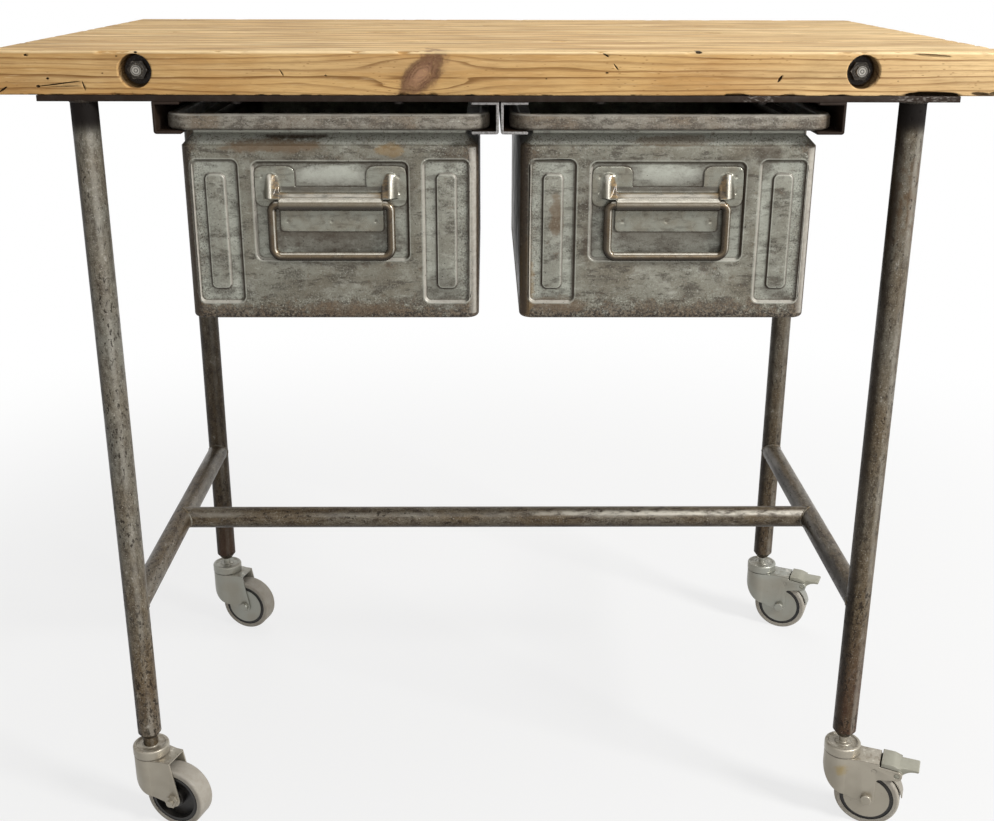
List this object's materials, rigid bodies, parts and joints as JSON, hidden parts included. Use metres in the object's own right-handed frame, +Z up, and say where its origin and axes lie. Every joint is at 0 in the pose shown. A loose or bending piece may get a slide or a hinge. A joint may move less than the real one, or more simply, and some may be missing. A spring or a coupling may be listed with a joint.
{
  "type": "work table",
  "caption": "Rolling work table with a plank top, a tube frame on braked swivel casters and two pressed steel crates that slide out from rails under the top.",
  "frame": {"origin": "on the floor, under the middle of the table's plan box", "axes": "+X to the right seen from the front, +Y to the rear, +Z up; the crates open towards -Y"},
  "size_m": [1, 0.6306, 0.894],
  "materials": {
    "wood": "oiled reclaimed softwood, satin",
    "rod_steel": "dull zinc plating",
    "frame_steel": "worn black lacquer",
    "tube_steel": "bare pitted steel, lacquered",
    "crate_steel": "bare grey-green sheet with rust stains",
    "handle_steel": "worn bare steel, brown tint",
    "caster_zinc": "satin zinc plating",
    "wheel_core": "black moulded plastic",
    "wheel_tyre": "non-marking grey rubber",
    "pedal_grey": "grey satin"
  },
  "bodies": {
    "table": {"plank_1": "wood", "plank_2": "wood", "plank_3": "wood", "plank_4": "wood", "tie_rods": "rod_steel", "tie_washers": "rod_steel", "tie_nuts": "rod_steel", "frame_bar_front": "frame_steel", "frame_bar_rear": "frame_steel", "frame_bar_left": "frame_steel", "frame_bar_right": "frame_steel", "top_screws": "rod_steel", "rail_left_outer": "frame_steel", "rail_left_inner": "frame_steel", "rail_right_inner": "frame_steel", "rail_right_outer": "frame_steel", "leg_front_left": "tube_steel", "leg_front_right": "tube_steel", "leg_rear_left": "tube_steel", "leg_rear_right": "tube_steel", "stretcher_left": "tube_steel", "stretcher_right": "tube_steel", "stretcher_long": "tube_steel", "leg_plugs": "tube_steel", "swivel_balls": "rod_steel", "caster_fl_stem": "caster_zinc", "caster_fr_stem": "caster_zinc", "caster_rl_stem": "caster_zinc", "caster_rr_stem": "caster_zinc"},
    "crate_left": {"crate_left_shell": "crate_steel", "crate_left_rim_wire": "rod_steel", "crate_left_handle_plate": "handle_steel"},
    "bail_left": {"crate_left_bail": "handle_steel"},
    "crate_right": {"crate_right_shell": "crate_steel", "crate_right_rim_wire": "rod_steel", "crate_right_handle_plate": "handle_steel"},
    "bail_right": {"crate_right_bail": "handle_steel"},
    "fork_fl": {"caster_fl_fork": "caster_zinc", "caster_fl_axle": "caster_zinc"},
    "wheel_fl": {"caster_fl_core": "wheel_core", "caster_fl_tyre": "wheel_tyre"},
    "fork_fr": {"caster_fr_fork": "caster_zinc", "caster_fr_axle": "caster_zinc", "caster_fr_guards": "caster_zinc", "caster_fr_brake_spring": "caster_zinc"},
    "wheel_fr": {"caster_fr_core": "wheel_core", "caster_fr_tyre": "wheel_tyre"},
    "pedal_fr": {"caster_fr_pedal": "pedal_grey"},
    "fork_rl": {"caster_rl_fork": "caster_zinc", "caster_rl_axle": "caster_zinc", "caster_rl_guards": "caster_zinc"},
    "wheel_rl": {"caster_rl_core": "wheel_core", "caster_rl_tyre": "wheel_tyre"},
    "fork_rr": {"caster_rr_fork": "caster_zinc", "caster_rr_axle": "caster_zinc", "caster_rr_guards": "caster_zinc", "caster_rr_brake_spring": "caster_zinc"},
    "wheel_rr": {"caster_rr_core": "wheel_core", "caster_rr_tyre": "wheel_tyre"},
    "pedal_rr": {"caster_rr_pedal": "pedal_grey"}
  },
  "joints": [
    {"name": "crate_left_slide", "type": "slide", "parent": "table", "child": "crate_left", "axis": [0, -1, 0], "range_m": [0, 0.36]},
    {"name": "bail_left_swing", "type": "hinge", "parent": "crate_left", "child": "bail_left", "pos_m": [-0.1712, -0.27342, 0.7421], "axis": [-1, 0, 0], "range_deg": [0, 95]},
    {"name": "crate_right_slide", "type": "slide", "parent": "table", "child": "crate_right", "axis": [0, -1, 0], "range_m": [0, 0.36]},
    {"name": "bail_right_swing", "type": "hinge", "parent": "crate_right", "child": "bail_right", "pos_m": [0.1712, -0.27342, 0.7421], "axis": [-1, 0, 0], "range_deg": [0, 95]},
    {"name": "swivel_fl", "type": "hinge", "parent": "table", "child": "fork_fl", "pos_m": [-0.411, -0.27127, 0.088], "axis": [0, 0, 1], "continuous": true},
    {"name": "roll_fl", "type": "hinge", "parent": "fork_fl", "child": "wheel_fl", "pos_m": [-0.37905, -0.2829, 0.0375], "axis": [0.342, 0.9397, 0], "continuous": true},
    {"name": "swivel_fr", "type": "hinge", "parent": "table", "child": "fork_fr", "pos_m": [0.411, -0.27127, 0.088], "axis": [0, 0, 1], "continuous": true},
    {"name": "roll_fr", "type": "hinge", "parent": "fork_fr", "child": "wheel_fr", "pos_m": [0.44252, -0.28401, 0.0375], "axis": [0.3746, 0.9272, 0], "continuous": true},
    {"name": "brake_fr", "type": "hinge", "parent": "fork_fr", "child": "pedal_fr", "pos_m": [0.47127, -0.29562, 0.0765], "axis": [0.3746, 0.9272, 0], "range_deg": [0, 15]},
    {"name": "swivel_rl", "type": "hinge", "parent": "table", "child": "fork_rl", "pos_m": [-0.411, 0.19273, 0.088], "axis": [0, 0, 1], "continuous": true},
    {"name": "roll_rl", "type": "hinge", "parent": "fork_rl", "child": "wheel_rl", "pos_m": [-0.37885, 0.18166, 0.0375], "axis": [0.3256, 0.9455, 0], "continuous": true},
    {"name": "swivel_rr", "type": "hinge", "parent": "table", "child": "fork_rr", "pos_m": [0.411, 0.19273, 0.088], "axis": [0, 0, 1], "continuous": true},
    {"name": "roll_rr", "type": "hinge", "parent": "fork_rr", "child": "wheel_rr", "pos_m": [0.44206, 0.1789, 0.0375], "axis": [0.4067, 0.9135, 0], "continuous": true},
    {"name": "brake_rr", "type": "hinge", "parent": "fork_rr", "child": "pedal_rr", "pos_m": [0.47038, 0.16629, 0.0765], "axis": [0.4067, 0.9135, 0], "range_deg": [0, 15]}
  ]
}
